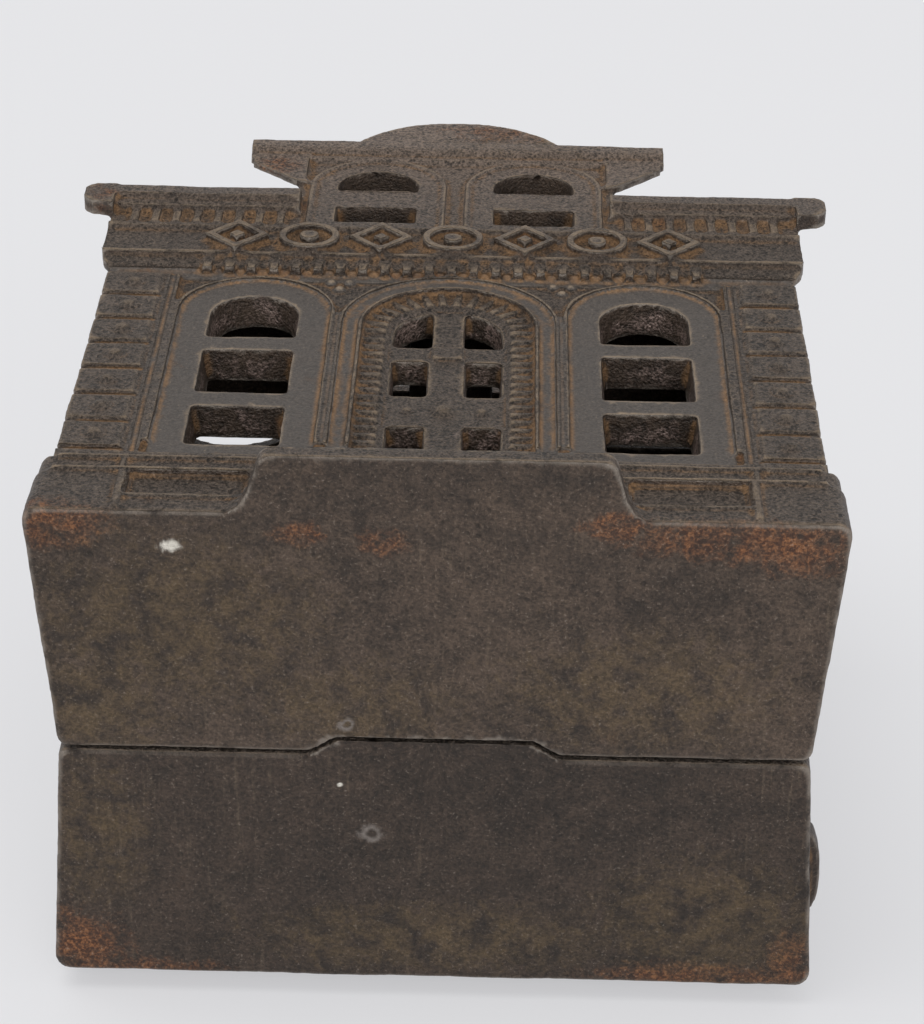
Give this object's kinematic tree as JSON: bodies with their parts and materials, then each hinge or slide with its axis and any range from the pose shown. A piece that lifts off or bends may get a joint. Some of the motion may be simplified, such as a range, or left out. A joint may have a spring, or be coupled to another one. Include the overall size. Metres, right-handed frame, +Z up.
{
  "type": "cast iron still bank",
  "caption": "Small cast iron coin bank shaped as a two-storey arched-window building, in two hollow castings held by one screw.",
  "frame": {"origin": "middle of the bounding box on the flat underside", "axes": "+Z up, +X to the right of someone facing the street front, +Y from the street front to the back"},
  "size_m": [0.0864, 0.063, 0.1035],
  "materials": {
    "front_iron": "worn brown-black iron with rust in the hollows",
    "rear_iron": "darker worn brown-black iron",
    "screw_steel": "dull steel with rust in the slot"
  },
  "bodies": {
    "front_casting": {"front_half": "front_iron"},
    "rear_casting": {"rear_half": "rear_iron"},
    "screw": {"assembly_screw": "screw_steel"}
  },
  "joints": [
    {"name": "halves_part", "type": "slide", "parent": "front_casting", "child": "rear_casting", "axis": [0, 1, 0], "range_m": [0, 0.04]},
    {"name": "screw_withdrawal", "type": "slide", "parent": "rear_casting", "child": "screw", "axis": [0, 1, 0], "range_m": [0, 0.036]}
  ]
}
